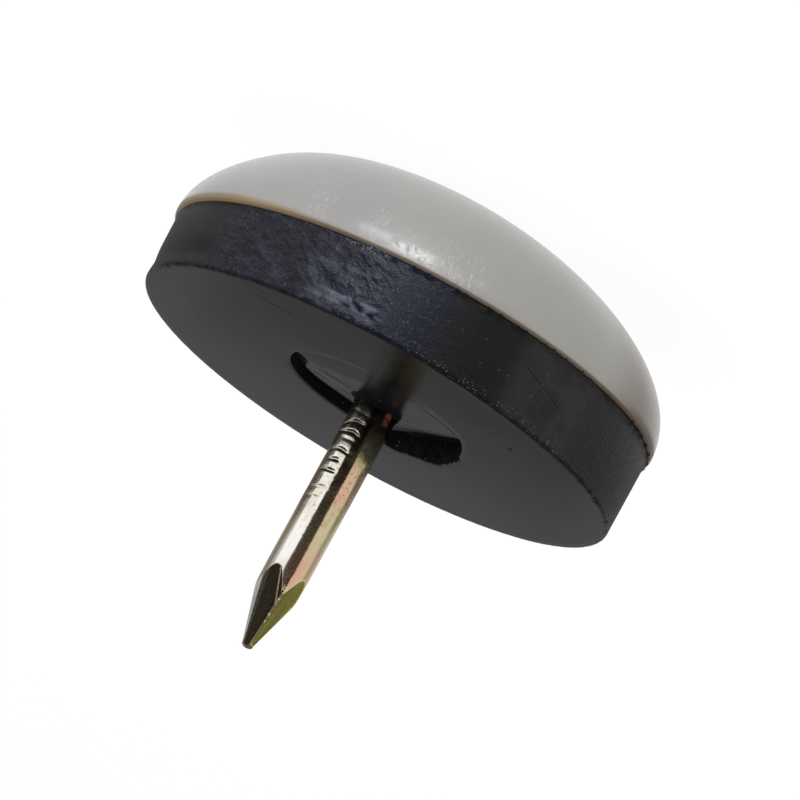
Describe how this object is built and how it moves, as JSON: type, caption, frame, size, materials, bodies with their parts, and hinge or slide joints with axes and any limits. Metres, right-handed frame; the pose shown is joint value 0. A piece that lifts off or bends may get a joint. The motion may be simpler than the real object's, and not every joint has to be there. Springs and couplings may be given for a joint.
{
  "type": "nail-on furniture glide",
  "caption": "Cushioned furniture glide: a low plastic dome bonded to a black rubber disc, with a plated nail that is driven into the end of a leg.",
  "frame": {"origin": "lowest point of the dome's crown, on the nail's axis", "axes": "+Z along the nail towards its point, which is up when the glide is on a leg; +Y towards the torn side of the sunken seat"},
  "size_m": [0.0318, 0.0318, 0.0293],
  "materials": {
    "dome_plastic": "warm grey moulded plastic, softly glossy, with fine scratches",
    "cushion_rubber": "black rubber, semi-gloss face and wrinkled, dusty sides",
    "nail_plating": "steel, zinc plated with yellow iridescent passivation"
  },
  "bodies": {
    "root": {"dome": "dome_plastic", "rubber_cushion": "cushion_rubber", "nail": "nail_plating"}
  },
  "joints": []
}
